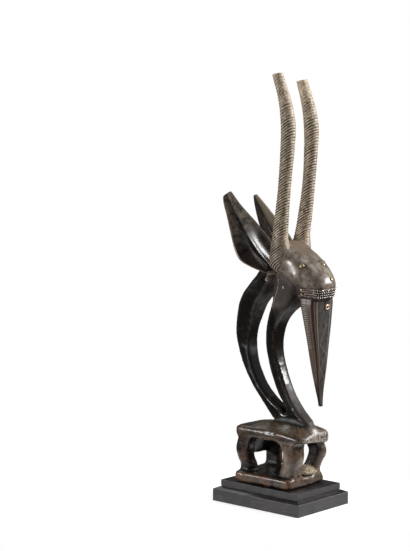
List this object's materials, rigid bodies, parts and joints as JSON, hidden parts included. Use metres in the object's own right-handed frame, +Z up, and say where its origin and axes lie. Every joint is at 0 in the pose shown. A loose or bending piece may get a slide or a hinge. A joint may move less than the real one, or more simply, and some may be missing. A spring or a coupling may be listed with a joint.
{
  "type": "antelope headdress on plinth",
  "caption": "Carved wooden antelope headdress with ringed horns, long ears, an openwork double neck and a hanging muzzle, on a four-legged stool and a stepped display plinth.",
  "frame": {"origin": "centre of the plinth's underside", "axes": "+Z up, +X the way the muzzle faces, so -Y is the side nearer the viewer in the picture"},
  "size_m": [0.2095, 0.143, 0.771],
  "materials": {
    "plinth": "black lacquer, satin",
    "wood": "dark polished patina, paler and dusty on the horns",
    "band": "tarnished beaded strip",
    "fibre": "dry plant fibre",
    "copper": "dull reddish metal",
    "brass": "tarnished brass"
  },
  "bodies": {
    "root": {"plinth": "plinth", "carving": "wood", "muzzle_band": "band", "fibre_wad": "fibre", "eyelet": "copper", "tack_eye_near": "brass", "tack_jaw_near": "brass", "tack_band_high_near": "brass", "tack_band_low_near": "brass", "tack_eye_far": "brass", "tack_jaw_far": "brass", "tack_band_high_far": "brass", "tack_band_low_far": "brass", "tack_brow_high": "brass", "tack_brow_low": "brass", "tack_mane_1": "brass", "tack_mane_2": "brass", "tack_mane_3": "brass", "tack_mane_4": "brass", "tack_mane_5": "brass", "tack_mane_6": "brass"}
  },
  "joints": []
}
